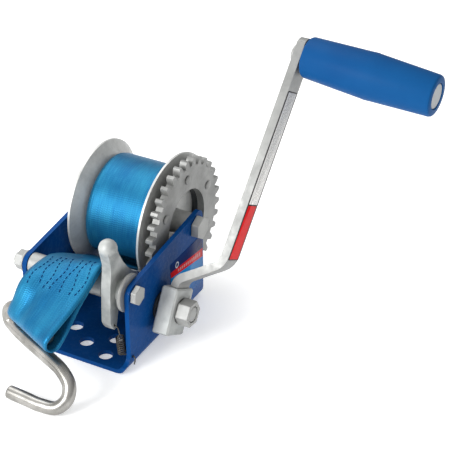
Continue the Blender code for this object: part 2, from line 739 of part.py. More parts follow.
def make_pawl(parent):
    """The cast ratchet pawl with its thumb knob and the boss on its bolt."""
    blade = prism(pawl_outline(), PAWL_BACK, PAWL_FRONT)
    pawl = make_piece("pawl", blade, ZINC, parent)
    knob = bmesh.new()
    bmesh.ops.create_uvsphere(knob, u_segments=18, v_segments=11, radius=KNOB_RADIUS)
    combine(pawl, moved(knob, *KNOB_PLACE, (PAWL_BACK + PAWL_FRONT) / 2), "UNION")
    boss = rod(PAWL_BOSS_RADIUS, PAWL_BACK - 0.0042, PAWL_FRONT + 0.0036, 28)
    combine(pawl, boss, "UNION")
    drills = [rod(PAWL_BOLT_RADIUS + GAP, 0.0, 0.06, 28)]
    drills.append(moved(rod(SPRING_WIRE_RADIUS * 2.2, 0.0, 0.06, 12), *PAWL_EYE))
    combine(pawl, joined(*drills), "DIFFERENCE")


def make_pawl_bolt():
    """The bolt across the frame, with the tube that spaces the pawl and the disc beside it."""
    wall = FRAME_HALF_WIDTH + GAP
    inside = FRAME_HALF_WIDTH - SHEET - GAP
    bore = PAWL_BOLT_RADIUS + GAP
    shank = rod(PAWL_BOLT_RADIUS, -0.0560, wall + 0.002, 24, 0.0008)
    bolt = make_piece("pawl_bolt", moved(shank, *PAWL_AXIS), ZINC)
    head = hexagon(PAWL_HEXAGON, wall, wall + 0.0042, turn=math.radians(20))
    combine(bolt, moved(head, *PAWL_AXIS), "UNION")
    washer = sleeve(0.0085, bore, -wall - 0.0016, -wall, 32)
    make_piece("pawl_bolt_washer", moved(washer, *PAWL_AXIS), ZINC)
    low = -wall - 0.0016 - GAP
    make_piece("pawl_bolt_nut", moved(hexagon(PAWL_HEXAGON, low - 0.0060, low, bore), *PAWL_AXIS), ZINC)
    spacer = sleeve(SPACER_RADIUS, bore, -inside, PAWL_BACK - 0.0042 - GAP, 28)
    make_piece("pawl_spacer_tube", moved(spacer, *PAWL_AXIS), ZINC)
    low = PAWL_FRONT + 0.0036 + GAP
    profile = [(low, bore), (low, 0.0085), (low + 0.0012, 0.0140), (low + 0.0024, 0.0146), (inside, 0.0140)]
    profile += [(inside, bore)]
    make_piece("pawl_disc", moved(turned(profile, 40), *PAWL_AXIS), BRIGHT_STEEL)


def make_spring():
    """The tension spring: hooked through the pawl's tail above and the frame's side below."""
    eye = Vector((PAWL_FRONT, PAWL_AXIS[0] + PAWL_EYE[0], PAWL_AXIS[1] + PAWL_EYE[1]))
    hole = Vector((FRAME_HALF_WIDTH, *SPRING_HOLE))
    top = Vector((eye.x + 0.0040, eye.y, eye.z - 0.0085))
    bottom = Vector((FRAME_HALF_WIDTH - SHEET - 0.0040, hole.y - 0.0022, hole.z + 0.0025))
    down = (bottom - top).normalized()
    side = down.cross(Vector((1.0, 0.0, 0.0))).normalized()
    out = side.cross(down)
    steps = 8 * SPRING_TURNS
    coil = []
    for i in range(steps + 1):
        angle = 2 * math.pi * i / 8
        middle = top.lerp(bottom, i / steps)
        coil.append(middle + side * (SPRING_RADIUS * math.cos(angle)) + out * (SPRING_RADIUS * math.sin(angle)))
    above = [eye - Vector((0.0075, 0.0, 0.0)), eye, eye + Vector((0.0024, 0.0, -0.0010))]
    above.append(top + Vector((0.0, 0.0, 0.0020)))
    below = [Vector((hole.x - SHEET - 0.0018, hole.y, hole.z)), hole + Vector((0.0012, 0.0, 0.0))]
    below += [hole + Vector((0.0026, -0.0012, -0.0016)), hole + Vector((0.0026, -0.0026, -0.0046))]
    path = smooth_curve(above, 2) + coil + smooth_curve(below, 2)
    make_piece("pawl_spring", tube(path, SPRING_WIRE_RADIUS, 4), SPRING_STEEL)


# ---------------------------------------------------------------- strap and hook

def fold_points(edge, centre):
    """One edge of the strap's loop: tangent to a circle round the hook, past it and back under itself."""
    towards = centre - edge
    towards -= HOOK_AXIS * towards.dot(HOOK_AXIS)
    lean = math.asin(LOOP_RADIUS / towards.length)
    towards.normalize()
    out = towards.cross(HOOK_AXIS)
    up = out * math.cos(lean) - towards * math.sin(lean)
    ahead = towards * math.cos(lean) + out * math.sin(lean)
    steps = 7
    points = []
    for i in range(steps + 1):
        angle = (math.pi + LOOP_CLOSING) * i / steps
        points.append(centre + (up * math.cos(angle) + ahead * math.sin(angle)) * LOOP_RADIUS)
    back = up * math.sin(LOOP_CLOSING) - ahead * math.cos(LOOP_CLOSING)
    return [*points, points[-1] + back * LOOP_BACK_LENGTH]


def strap_stations():
    """Edges along the free strap, round the hook and back under itself."""
    lefts = smooth_curve([edge[0] for edge in STRAP_EDGES], 2)
    rights = smooth_curve([edge[1] for edge in STRAP_EDGES], 2)
    lefts += fold_points(lefts[-1], HOOK_PIVOT - HOOK_AXIS * (STRAP_WIDTH / 2))
    rights += fold_points(rights[-1], HOOK_PIVOT + HOOK_AXIS * (STRAP_WIDTH / 2))
    return list(zip(lefts, rights))


def make_strap():
    """The strap between the roll and the hook, with its sewn loop."""
    make_piece("strap_tail", ribbon(strap_stations(), STRAP_THICKNESS), WEBBING)


def make_hook(parent):
    """The bent rod: a stretch through the strap's loop, a slanting middle and an end on the ground."""
    inside = [HOOK_PIVOT + HOOK_AXIS * reach for reach in (0.018, 0.0, -0.0150, -0.0275)]
    route = inside + [Vector(point) for point in HOOK_ROUTE]
    path = [point - HOOK_PIVOT for point in smooth_curve(route, 3)]
    make_piece("s_hook", tube(path, HOOK_ROD_RADIUS, 12), BRIGHT_STEEL, parent)


# ---------------------------------------------------------------- assembly


def main():
    clear_scene()
    make_frame()
    drum = make_empty("drum_axis", (0.0, *DRUM_AXIS))
    make_drum(drum)
    make_drum_bolt()
    make_bushes()
    crank = make_empty("crank_axis", (0.0, *CRANK_AXIS), turn=(-CRANK_LEAN, 0.0, 0.0))
    make_shaft(crank)
    make_pinion(crank)
    make_hub(crank)
    make_arm(crank)
    pin = make_empty("grip_axis", (arm_x(PIN_REACH), 0.0, PIN_REACH), crank, (0.0, PIN_LEAN, 0.0))
    make_grip_pin(pin)
    make_grip(pin)
    make_pawl_bolt()
    pawl = make_empty("pawl_axis", (0.0, *PAWL_AXIS))
    make_pawl(pawl)
    make_spring()
    make_strap()
    hook = make_empty("hook_axis", HOOK_PIVOT)
    make_hook(hook)


main()
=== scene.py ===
"""Studio scene of a boat trailer's hand winch: materials, webbing, hook, spring, labels, lights and camera.

Everything is in metres in the model's own frame: +X along the drum towards the gears, +Y away from the strap.
"""

import json
import math

import bmesh
import bpy
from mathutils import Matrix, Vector

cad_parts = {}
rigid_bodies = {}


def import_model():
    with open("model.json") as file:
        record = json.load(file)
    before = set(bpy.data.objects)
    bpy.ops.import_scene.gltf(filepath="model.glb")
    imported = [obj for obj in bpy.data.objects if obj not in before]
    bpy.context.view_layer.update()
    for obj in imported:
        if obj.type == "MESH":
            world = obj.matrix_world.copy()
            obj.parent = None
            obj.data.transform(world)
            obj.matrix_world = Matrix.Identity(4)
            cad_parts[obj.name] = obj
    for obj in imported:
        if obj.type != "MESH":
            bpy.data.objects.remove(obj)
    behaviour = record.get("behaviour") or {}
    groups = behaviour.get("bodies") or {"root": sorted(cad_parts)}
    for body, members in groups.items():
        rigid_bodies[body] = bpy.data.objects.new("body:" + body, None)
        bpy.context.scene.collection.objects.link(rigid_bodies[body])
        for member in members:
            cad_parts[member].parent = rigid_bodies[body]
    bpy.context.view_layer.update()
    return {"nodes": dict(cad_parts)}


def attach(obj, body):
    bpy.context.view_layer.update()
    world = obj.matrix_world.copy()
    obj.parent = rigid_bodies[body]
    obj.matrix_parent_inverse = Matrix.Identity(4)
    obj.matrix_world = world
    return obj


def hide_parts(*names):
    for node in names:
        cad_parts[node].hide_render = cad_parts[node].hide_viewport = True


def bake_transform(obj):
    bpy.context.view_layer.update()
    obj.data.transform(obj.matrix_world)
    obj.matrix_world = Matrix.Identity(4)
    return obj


for item in list(bpy.data.objects):
    bpy.data.objects.remove(item, do_unlink=True)

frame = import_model()

DRUM_AXIS = Vector((0.0, 0.0475, 0.0690))
CRANK_AXIS = Vector((0.0, -0.0074, 0.0318))
PAWL_AXIS = Vector((0.0, -0.0420, 0.0620))
CRANK_LEAN = math.radians(30.1)

STRAP_WIDTH = 0.0506
STRAP_THICKNESS = 0.0022
STRAP_COLUMNS = 21
LAYER = 0.0026  # from the middle of one layer of webbing to the next
CURVE_STEPS = 5  # steps along the strap between two of its guide points

# The free strap's left and right edges, from the roll over the spacer tube and down to the hook
STRAP_EDGES = (
    ((-0.0272, 0.0263, 0.0328), (0.0236, 0.0234, 0.0346)),
    ((-0.0274, -0.0050, 0.0517), (0.0234, -0.0050, 0.0549)),
    ((-0.0278, -0.0370, 0.0707), (0.0226, -0.0350, 0.0762)),
    ((-0.0280, -0.0460, 0.0728), (0.0216, -0.0460, 0.0815)),
    ((-0.0285, -0.0570, 0.0734), (0.0220, -0.0550, 0.0785)),
    ((-0.0290, -0.0670, 0.0725), (0.0218, -0.0650, 0.0730)),
    ((-0.0300, -0.0760, 0.0675), (0.0210, -0.0780, 0.0675)),
    ((-0.0310, -0.0825, 0.0585), (0.0185, -0.0930, 0.0610)),
)

# The outermost turn on the roll
WRAP_POINTS = 34
WRAP_STEP = math.radians(9.8)
WRAP_RADIUS = 0.0416
WRAP_TUCK = 0.0027  # how much closer to the axis the turn lies away from where the strap leaves

# The turns under it
ROLL_LEFT = -0.0271
ROLL_RIGHT = 0.0235
ROLL_INNER_RADIUS = 0.0265
ROLL_OUTER_RADIUS = 0.0375
ROLL_TURNS = 5
ROLL_SIDES = 72

# The sewn loop: its round part, and how far its inner layer lies under the guide points it returns along
LOOP_RADIUS = 0.0065
LOOP_CLOSING = math.radians(20)  # how far past a half turn the loop goes
LOOP_POINTS = 6
LOOP_RETURN = ((6, 0.0044), (5, LAYER), (4, LAYER), (3, LAYER))
PUCKER_HEIGHT = 0.0011
PUCKER_REACH = 22  # rows of the strap over which the puckers fade

STITCH_LINES = 7
STITCH_LENGTH = 0.0027
STITCH_GAP = 0.0012
STITCH_RADIUS = 0.00042
STITCH_STEP = 0.0002

HOOK_PIVOT = Vector((-0.0070, -0.0920, 0.0488))
HOOK_AXIS = Vector((0.912, -0.408, -0.030)).normalized()
HOOK_ROD_RADIUS = 0.0050
HOOK_INSIDE = (0.018, 0.0, -0.0150, -0.0275)  # places along the axis, inside the strap's loop

# The hook's rod after the stretch that lies in the strap's loop
HOOK_ROUTE = (
    (-0.0372, -0.0800, 0.0455),
    (-0.0366, -0.0812, 0.0380),
    (-0.0280, -0.0850, 0.0345),
    (-0.0170, -0.0895, 0.0330),
    (0.0050, -0.0966, 0.0296),
    (0.0203, -0.1018, 0.0264),
    (0.0297, -0.1073, 0.0205),
    (0.0310, -0.1128, 0.0126),
    (0.0252, -0.1176, 0.0064),
    (0.0130, -0.1190, 0.0051),
    (-0.0022, -0.1179, 0.0051),
    (-0.0153, -0.1169, 0.0051),
)

SPRING_EYE = Vector((0.0333, PAWL_AXIS.y - 0.0100, PAWL_AXIS.z - 0.0245))
SPRING_HOLE = Vector((0.0450, -0.0478, 0.0112))
SPRING_TURNS = 8
SPRING_SIDES = 16  # points on each turn
SPRING_RADIUS = 0.0028
SPRING_WIRE_RADIUS = 0.00055

# The arm's label: two points on the arm's middle line, each X and the distance out from the shaft
ARM_LOW = Vector((0.0895, 0.0428))
ARM_HIGH = Vector((0.1086, 0.2135))
ARM_FACE = 0.00316  # from the middle line to just over the arm's outer face
ARM_LABEL_START = 0.004
ARM_LABEL_END = 0.132
ARM_LABEL_HALF_WIDTH = 0.0086

# The side plate's label: its X, and the Y and Z of its low front and high back corners
PLATE_LABEL_X = 0.04506
PLATE_LABEL_LOW = (0.0085, 0.0062)
PLATE_LABEL_HIGH = (0.0570, 0.0570)
LABEL_THICKNESS = 0.00012
LABEL_ROUNDING = 0.0012

FLOOR_DROP = 0.0002  # how far the floor lies under the frame's underside
LIT_POINT = (0.03, 0.0, 0.06)
KEY_LIGHT = (-0.35, -1.05, 0.62)
TOP_LIGHT = (-0.60, 0.35, 1.10)
BRIGHT_SIDE = (-0.62, -0.50, 0.60)  # the way towards the brightest part of the surroundings

CAMERA_PLACE = (0.5096, -0.7774, 0.6705)
CAMERA_TILT = math.radians(57.8)
CAMERA_TURN = math.radians(27.96)
CAMERA_LENS = 119.8
CAMERA_SENSOR = 36.0
CAMERA_SHIFT = (-0.0054, -0.0112)


# ---------------------------------------------------------------- mesh tools


def new_piece(name, shape, material, body, node=None):
    """Turn a bmesh into a smooth piece that rides on a body and may stand for a CAD node."""
    mesh = bpy.data.meshes.new(name)
    shape.to_mesh(mesh)
    shape.free()
    mesh.shade_smooth()
    piece = bpy.data.objects.new(name, mesh)
    bpy.context.scene.collection.objects.link(piece)
    mesh.materials.append(material)
    if node:
        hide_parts(node)
    if body:
        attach(piece, body)
    return piece


def smooth_curve(points, steps):
    """A Catmull-Rom curve through unevenly spaced points, with a number of steps between neighbours."""
    points = [Vector(point) for point in points]
    ends = [2 * points[0] - points[1], *points, 2 * points[-1] - points[-2]]
    curve = []
    for a, b, c, d in zip(ends, ends[1:], ends[2:], ends[3:]):
        before, between, after = [max((q - p).length, 1e-6) ** 0.5 for p, q in ((a, b), (b, c), (c, d))]
        leave = ((b - a) / before - (c - a) / (before + between) + (c - b) / between) * between
        arrive = ((c - b) / between - (d - b) / (between + after) + (d - c) / after) * between
        for i in range(steps):
            t = i / steps
            point = b * (2 * t ** 3 - 3 * t ** 2 + 1) + leave * (t ** 3 - 2 * t ** 2 + t)
            curve.append(point + c * (3 * t ** 2 - 2 * t ** 3) + arrive * (t ** 3 - t ** 2))
    return [*curve, points[-1]]


def tube(path, radii, sides):
    """A closed round bar along a path, with a radius for each point and closed ends."""
    shape = bmesh.new()
    layer = shape.loops.layers.uv.new("UVMap")
    rings = []
    side = None
    for i, point in enumerate(path):
        ahead = (path[min(i + 1, len(path) - 1)] - path[max(i - 1, 0)]).normalized()
        if side is None:
            side = ahead.orthogonal().normalized()
        side = (side - ahead * side.dot(ahead)).normalized()
        up = ahead.cross(side)
        angles = [2 * math.pi * k / sides for k in range(sides)]
        ways = [side * math.cos(a) + up * math.sin(a) for a in angles]
        rings.append([shape.verts.new(point + way * radii[i]) for way in ways])
    travelled = 0.0
    for i, (first, second) in enumerate(zip(rings, rings[1:])):
        step = (path[i + 1] - path[i]).length
        for k in range(sides):
            j = (k + 1) % sides
            face = shape.faces.new((first[k], first[j], second[j], second[k]))
            places = ((k, 0), (k + 1, 0), (k + 1, 1), (k, 1))
            for loop, (turn, on) in zip(face.loops, places):
                loop[layer].uv = (turn / sides * 2 * math.pi * radii[i], travelled + on * step)
        travelled += step
    shape.faces.new(rings[0])
    shape.faces.new(rings[-1])
    bmesh.ops.recalc_face_normals(shape, faces=shape.faces[:])
    return shape


def rounded_ends(path, radius, rounding):
    """Radii along a path that close in over a short rounding at each end, with points added there."""
    steps = 4
    first = (path[0] - path[1]).normalized()
    last = (path[-1] - path[-2]).normalized()
    angles = [math.pi / 2 * i / steps for i in range(steps)]
    before = [path[0] + first * (rounding * (math.cos(a) - 1)) for a in angles]
    after = [path[-1] + last * (rounding * (math.cos(a) - 1)) for a in reversed(angles)]
    small = [radius - rounding * (1 - math.sin(a)) for a in angles]
    between = trimmed(path, rounding)
    return [*before, *between, *after], small + [radius] * len(between) + small[::-1]


def trimmed(path, length):
    """The points of a path that lie further than a length from both ends."""
    return [p for p in path if (p - path[0]).length > length and (p - path[-1]).length > length]


def sheet_mesh(rows, thickness, widths, lengths):
    """A thin closed band whose middle surface is a grid of points, thinner towards its two long edges."""
    shape = bmesh.new()
    layer = shape.loops.layers.uv.new("UVMap")
    count = len(rows)
    across = len(rows[0])
    normals = []
    for i in range(count):
        line = []
        for j in range(across):
            along = rows[min(i + 1, count - 1)][j] - rows[max(i - 1, 0)][j]
            over = rows[i][min(j + 1, across - 1)] - rows[i][max(j - 1, 0)]
            line.append(over.cross(along).normalized())
        normals.append(line)
    sides = []
    for sign in (1, -1):
        grid = []
        for i in range(count):
            line = []
            for j in range(across):
                edge = min(widths[j], widths[-1] - widths[j])
                half = thickness / 2 * (0.45 + 0.55 * min(1.0, edge / 0.0012))
                line.append(shape.verts.new(rows[i][j] + normals[i][j] * (sign * half)))
            grid.append(line)
        sides.append(grid)

    def add(corners, places):
        face = shape.faces.new(corners)
        for loop, (i, j) in zip(face.loops, places):
            loop[layer].uv = (widths[j], lengths[i])

    for grid in sides:
        for i in range(count - 1):
            for j in range(across - 1):
                places = ((i, j), (i, j + 1), (i + 1, j + 1), (i + 1, j))
                add([grid[a][b] for a, b in places], places)
    front, back = sides
    for i in range(count - 1):
        for j in (0, across - 1):
            places = ((i, j), (i + 1, j), (i + 1, j), (i, j))
            add((front[i][j], front[i + 1][j], back[i + 1][j], back[i][j]), places)
    for j in range(across - 1):
        for i in (0, count - 1):
            places = ((i, j), (i, j + 1), (i, j + 1), (i, j))
            add((front[i][j], front[i][j + 1], back[i][j + 1], back[i][j]), places)
    bmesh.ops.recalc_face_normals(shape, faces=shape.faces[:])
    return shape


def finish_node(name, material, width=0.0004, segments=2, angle=28):
    """Give a CAD node its material and softly rounded edges, without touching its own points."""
    node = frame["nodes"][name]
    mesh = node.data
    mesh.materials.clear()
    mesh.materials.append(material)
    for attribute in ("custom_normal", "sharp_edge", "sharp_face"):
        if attribute in mesh.attributes:
            mesh.attributes.remove(mesh.attributes[attribute])
    mesh.shade_smooth()
    weld = node.modifiers.new("weld", "WELD")
    weld.merge_threshold = 0.00001
    flat = node.modifiers.new("flat", "DECIMATE")
    flat.decimate_type = "DISSOLVE"
    flat.angle_limit = math.radians(0.6)
    bevel = node.modifiers.new("rounded", "BEVEL")
    bevel.width = width
    bevel.segments = segments
    bevel.limit_method = "ANGLE"
    bevel.angle_limit = math.radians(angle)
    bevel.harden_normals = True
    bevel.miter_outer = "MITER_ARC"


# ---------------------------------------------------------------- material tools


class Nodes:
    """Short calls for building a material's node tree round its Principled shader."""

    def __init__(self, name):
        self.material = bpy.data.materials.new(name)
        self.material.use_nodes = True
        self.tree = self.material.node_tree
        self.shader = self.tree.nodes["Principled BSDF"]

    def add(self, kind, **settings):
        node = self.tree.nodes.new(kind)
        for key, value in settings.items():
            setattr(node, key, value)
        return node

    def link(self, source, target):
        self.tree.links.new(source, target)

    def fill(self, target, value):
        if isinstance(value, bpy.types.NodeSocket):
            self.link(value, target)
        else:
            target.default_value = value

    def place(self, scale=(1.0, 1.0, 1.0), kind="Object"):
        coordinates = self.add("ShaderNodeTexCoord")
        mapping = self.add("ShaderNodeMapping")
        mapping.inputs["Scale"].default_value = scale
        self.link(coordinates.outputs[kind], mapping.inputs["Vector"])
        return mapping.outputs["Vector"]

    def noise(self, place, scale, detail=3.0, roughness=0.5):
        node = self.add("ShaderNodeTexNoise")
        self.link(place, node.inputs["Vector"])
        node.inputs["Scale"].default_value = scale
        node.inputs["Detail"].default_value = detail
        node.inputs["Roughness"].default_value = roughness
        return node.outputs["Fac"]

    def math(self, operation, first, second=0.0, third=0.0):
        node = self.add("ShaderNodeMath", operation=operation)
        for socket, value in zip(node.inputs, (first, second, third)):
            self.fill(socket, value)
        return node.outputs[0]

    def spread(self, value, low, high, start=0.0, end=1.0):
        node = self.add("ShaderNodeMapRange")
        node.clamp = True
        self.fill(node.inputs["Value"], value)
        node.inputs["From Min"].default_value = start
        node.inputs["From Max"].default_value = end
        node.inputs["To Min"].default_value = low
        node.inputs["To Max"].default_value = high
        return node.outputs["Result"]

    def mix(self, share, first, second):
        node = self.add("ShaderNodeMix", data_type="RGBA")
        self.fill(node.inputs["Factor"], share)
        self.fill(node.inputs[6], colour(first))
        self.fill(node.inputs[7], colour(second))
        return node.outputs[2]

    def split(self, vector):
        node = self.add("ShaderNodeSeparateXYZ")
        self.link(vector, node.inputs[0])
        return node.outputs

    def bump(self, height, distance, strength=1.0):
        node = self.add("ShaderNodeBump")
        self.link(height, node.inputs["Height"])
        node.inputs["Distance"].default_value = distance
        node.inputs["Strength"].default_value = strength
        self.link(node.outputs["Normal"], self.shader.inputs["Normal"])

    def under(self, value, limit):
        return self.math("LESS_THAN", value, limit)

    def over(self, value, limit):
        return self.math("GREATER_THAN", value, limit)

    def times(self, first, second):
        return self.math("MULTIPLY", first, second)

    def apart(self, value, middle):
        return self.math("ABSOLUTE", self.math("SUBTRACT", value, middle))

    def uv(self):
        coordinates = self.add("ShaderNodeTexCoord")
        parts = self.split(coordinates.outputs["UV"])
        return parts[0], parts[1]

    def set(self, **values):
        for key, value in values.items():
            self.fill(self.shader.inputs[key.replace("_", " ")], value)


def colour(value):
    """A colour with its alpha, or a socket as it is."""
    return (*value, 1.0) if isinstance(value, tuple) and len(value) == 3 else value


# ---------------------------------------------------------------- materials


def blue_paint():
    """Glossy powder coat with a faint orange-peel surface."""
    n = Nodes("blue_powder_coat")
    place = n.place()
    large = n.spread(n.noise(place, 22.0, 4.0), 0.0, 1.0, 0.35, 0.65)
    n.set(Base_Color=n.mix(large, (0.0030, 0.047, 0.185), (0.0042, 0.062, 0.235)))
    n.set(Roughness=n.spread(n.noise(place, 260.0), 0.22, 0.32))
    n.set(Metallic=0.0, Coat_Weight=0.02, Coat_Roughness=0.08, Specular_IOR_Level=0.03)
    n.bump(n.noise(place, 850.0, 2.0), 0.00005, 0.6)
    return n.material


def zinc(name, shade=0.60, roughness=0.36, grain=420.0, relief=0.00004, stain=0.10):
    """Zinc-plated steel: slightly mottled grey with a fine grain and faint stains."""
    n = Nodes(name)
    place = n.place()
    mottled = n.noise(place, 60.0, 5.0, 0.6)
    fine = n.noise(place, grain, 3.0, 0.6)
    base = (shade, shade * 1.012, shade * 0.985)
    dark = tuple(c * (1 - 2.0 * stain) for c in base)
    tint = n.mix(n.spread(mottled, 0.0, 1.0, 0.62, 0.40), dark, base)
    light = (shade * 1.18, shade * 1.19, shade * 1.16)
    n.set(Base_Color=n.mix(n.spread(fine, 0.0, 0.35, 0.40, 0.75), tint, light), Metallic=0.45)
    n.set(Roughness=n.spread(n.math("ADD", mottled, fine), roughness - 0.07, roughness + 0.10, 0.7, 1.3))
    n.bump(fine, relief, 0.8)
    return n.material


def cast_zinc():
    """Zinc-plated casting: a coarser, pitted skin."""
    n = Nodes("cast_zinc")
    place = n.place()
    coarse = n.noise(place, 190.0, 4.0, 0.6)
    fine = n.noise(place, 900.0, 2.0)
    stains = n.noise(place, 45.0, 4.0)
    base = n.mix(n.spread(stains, 0.0, 1.0, 0.60, 0.38), (0.27, 0.285, 0.28), (0.43, 0.445, 0.435))
    n.set(Base_Color=n.mix(n.spread(coarse, 0.0, 0.4, 0.45, 0.7), base, (0.56, 0.57, 0.56)))
    n.set(Metallic=0.34, Roughness=n.spread(coarse, 0.46, 0.64, 0.3, 0.7))
    height = n.math("ADD", coarse, n.times(fine, 0.3))
    n.bump(height, 0.00022, 0.7)
    return n.material


def bright_rod():
    """Drawn rod with a dull bright finish and faint lengthwise streaks."""
    n = Nodes("bright_rod")
    along = n.place((2600.0, 30.0, 1.0), "UV")
    streaks = n.noise(along, 1.0, 3.0, 0.55)
    stains = n.noise(n.place(), 70.0, 4.0)
    base = n.mix(n.spread(stains, 0.0, 1.0, 0.60, 0.40), (0.20, 0.195, 0.180), (0.36, 0.350, 0.330))
    n.set(Base_Color=n.mix(n.spread(streaks, 0.0, 0.35, 0.35, 0.7), base, (0.50, 0.49, 0.465)))
    n.set(Metallic=0.95, Roughness=n.spread(streaks, 0.24, 0.36, 0.3, 0.7))
    n.bump(streaks, 0.00003, 0.5)
    return n.material


def plain_metal(name, base, roughness):
    """Dark or bright metal with a light mottling."""
    n = Nodes(name)
    place = n.place()
    mottled = n.noise(place, 160.0, 4.0)
    dark = tuple(c * 0.75 for c in base)
    n.set(Base_Color=n.mix(n.spread(mottled, 0.0, 1.0, 0.35, 0.65), dark, base))
    n.set(Metallic=0.9, Roughness=n.spread(mottled, roughness - 0.06, roughness + 0.08))
    n.bump(mottled, 0.00003, 0.5)
    return n.material


def webbing():
    """Woven strap: lengthwise ribs crossed by small diagonal picks, with uneven roughness and lighter patches
    that are partly its own tone and partly painted sheen.
    """
    n = Nodes("blue_webbing")
    across, along = n.uv()
    rib = 0.0019
    pick = 0.0016
    ribs = n.math("SINE", n.times(across, 2 * math.pi / rib))
    phase = n.times(n.math("PINGPONG", across, rib), math.pi / rib)
    picks = n.math("SINE", n.math("ADD", n.times(along, 2 * math.pi / pick), phase))
    weave = n.times(n.math("ADD", n.times(ribs, 0.5), picks), 0.33)
    patches = n.noise(n.place((60.0, 22.0, 1.0), "UV"), 1.0, 4.0, 0.6)
    threads = n.noise(n.place((1500.0, 90.0, 1.0), "UV"), 1.0, 2.0)
    # lighter patches in the base colour: partly the webbing's own uneven tone, partly painted sheen
    tone_and_sheen = n.spread(patches, 0.0, 1.0, 0.36, 0.68)
    base = n.mix(tone_and_sheen, (0.007, 0.118, 0.262), (0.018, 0.196, 0.352))
    base = n.mix(n.spread(weave, 0.24, 0.0, -0.45, 0.25), base, (0.003, 0.045, 0.170))
    base = n.mix(n.spread(threads, 0.0, 0.20, 0.45, 0.75), base, (0.060, 0.340, 0.520))
    n.set(Base_Color=base, Roughness=n.spread(patches, 0.38, 0.46, 0.3, 0.7))
    n.set(Metallic=0.60, Specular_IOR_Level=0.12)
    n.bump(weave, 0.00016, 0.7)
    return n.material


def thread():
    """Twisted sewing thread, darker than the strap."""
    n = Nodes("sewing_thread")
    twist = n.noise(n.place(), 1800.0, 2.0)
    n.set(Base_Color=n.mix(twist, (0.001, 0.016, 0.080), (0.001, 0.034, 0.150)), Roughness=0.7)
    n.set(Specular_IOR_Level=0.1)
    n.bump(twist, 0.0001, 0.5)
    return n.material


def grip_plastic():
    """Moulded blue plastic with a satin, lightly grained skin."""
    n = Nodes("grip_plastic")
    place = n.place()
    large = n.spread(n.noise(place, 18.0, 3.0), 0.0, 1.0, 0.35, 0.65)
    fine = n.noise(place, 700.0, 2.0)
    n.set(Base_Color=n.mix(large, (0.0045, 0.062, 0.205), (0.0060, 0.078, 0.240)))
    n.set(Roughness=n.spread(fine, 0.40, 0.50), Specular_IOR_Level=0.05)
    n.bump(fine, 0.00008, 0.5)
    return n.material


def grey_plastic():
    """Grey moulded plastic of the grip's cap."""
    n = Nodes("grey_plastic")
    fine = n.noise(n.place(), 500.0, 3.0)
    n.set(Base_Color=n.mix(fine, (0.30, 0.32, 0.34), (0.42, 0.44, 0.45)))
    n.set(Roughness=n.spread(fine, 0.42, 0.58))
    n.bump(fine, 0.00006, 0.5)
    return n.material


def arm_label():
    """Printed strip: a red panel, then a white one with broken dark rows, both inside a dark border."""
    n = Nodes("arm_label_print")
    across, along = n.uv()
    red_share = 0.33
    from_middle = n.apart(across, 0.5)
    border = n.math("MAXIMUM", n.over(from_middle, 0.42), n.over(n.apart(along, 0.5), 0.494))
    border = n.math("MAXIMUM", border, n.under(n.apart(along, red_share), 0.004))
    rows = n.under(n.apart(n.math("PINGPONG", across, 0.11), 0.055), 0.020)
    breaks = n.over(n.noise(n.place((6.0, 190.0, 1.0), "UV"), 1.0, 1.0), 0.44)
    bars = n.times(n.times(rows, breaks), n.under(from_middle, 0.33))
    white = n.mix(n.times(bars, 0.70), (0.90, 0.89, 0.86), (0.045, 0.045, 0.050))
    crimson = n.mix(n.times(bars, 0.25), (0.66, 0.006, 0.008), (0.12, 0.004, 0.006))
    base = n.mix(n.under(along, red_share), white, crimson)
    base = n.mix(border, base, (0.035, 0.030, 0.032))
    fade = n.noise(n.place(), 120.0, 3.0)
    n.set(Base_Color=n.mix(n.spread(fade, 0.0, 0.03), base, (0.8, 0.8, 0.8)))
    n.set(Roughness=n.spread(fade, 0.28, 0.42), Specular_IOR_Level=0.02)
    return n.material


def plate_label():
    """Printed plate: a dark blue head with a ring, a slanting red band and a light blue foot."""
    n = Nodes("plate_label_print")
    across, up = n.uv()
    head = n.mix(n.spread(up, 0.0, 1.0, 0.80, 1.0), (0.014, 0.014, 0.085), (0.005, 0.035, 0.170))
    foot = n.mix(n.spread(up, 0.0, 1.0, 0.10, 0.62), (0.003, 0.085, 0.330), (0.006, 0.220, 0.560))
    tilt = n.math("SUBTRACT", n.math("ADD", up, n.times(across, 0.14)), 0.814)
    base = n.mix(n.over(tilt, 0.0), foot, head)
    from_band = n.math("ABSOLUTE", tilt)
    width = n.math("ADD", n.times(across, 0.028), 0.048)
    base = n.mix(n.under(from_band, width), base, (0.640, 0.010, 0.014))
    bars = n.under(n.math("PINGPONG", across, 0.030), 0.018)
    bars = n.times(bars, n.under(from_band, n.times(width, 0.42)))
    bars = n.times(bars, n.times(n.under(n.apart(across, 0.58), 0.36), 0.55))
    base = n.mix(bars, base, (0.60, 0.52, 0.54))
    distance = n.math("SQRT", n.math("ADD", square(n, across, 0.198), square(n, up, 0.894)))
    base = n.mix(n.under(n.apart(distance, 0.042), 0.010), base, (0.72, 0.74, 0.78))
    fade = n.noise(n.place(), 150.0, 3.0)
    n.set(Base_Color=n.mix(n.spread(fade, 0.0, 0.02), base, (0.5, 0.6, 0.8)))
    n.set(Roughness=n.spread(fade, 0.20, 0.32))
    n.set(Coat_Weight=0.04, Coat_Roughness=0.1, Specular_IOR_Level=0.06)
    return n.material


def square(n, value, centre):
    """The square of a distance from a centre."""
    return n.math("POWER", n.apart(value, centre), 2.0)


def floor_paper():
    """Plain pale studio paper."""
    n = Nodes("studio_paper")
    fine = n.noise(n.place(), 40.0, 3.0)
    n.set(Base_Color=n.mix(fine, (0.86, 0.86, 0.86), (0.89, 0.89, 0.89)))
    n.set(Roughness=0.9, Specular_IOR_Level=0.1)
    n.set(Emission_Color=(1.0, 1.0, 1.0, 1.0), Emission_Strength=0.38)
    return n.material


# ---------------------------------------------------------------- strap

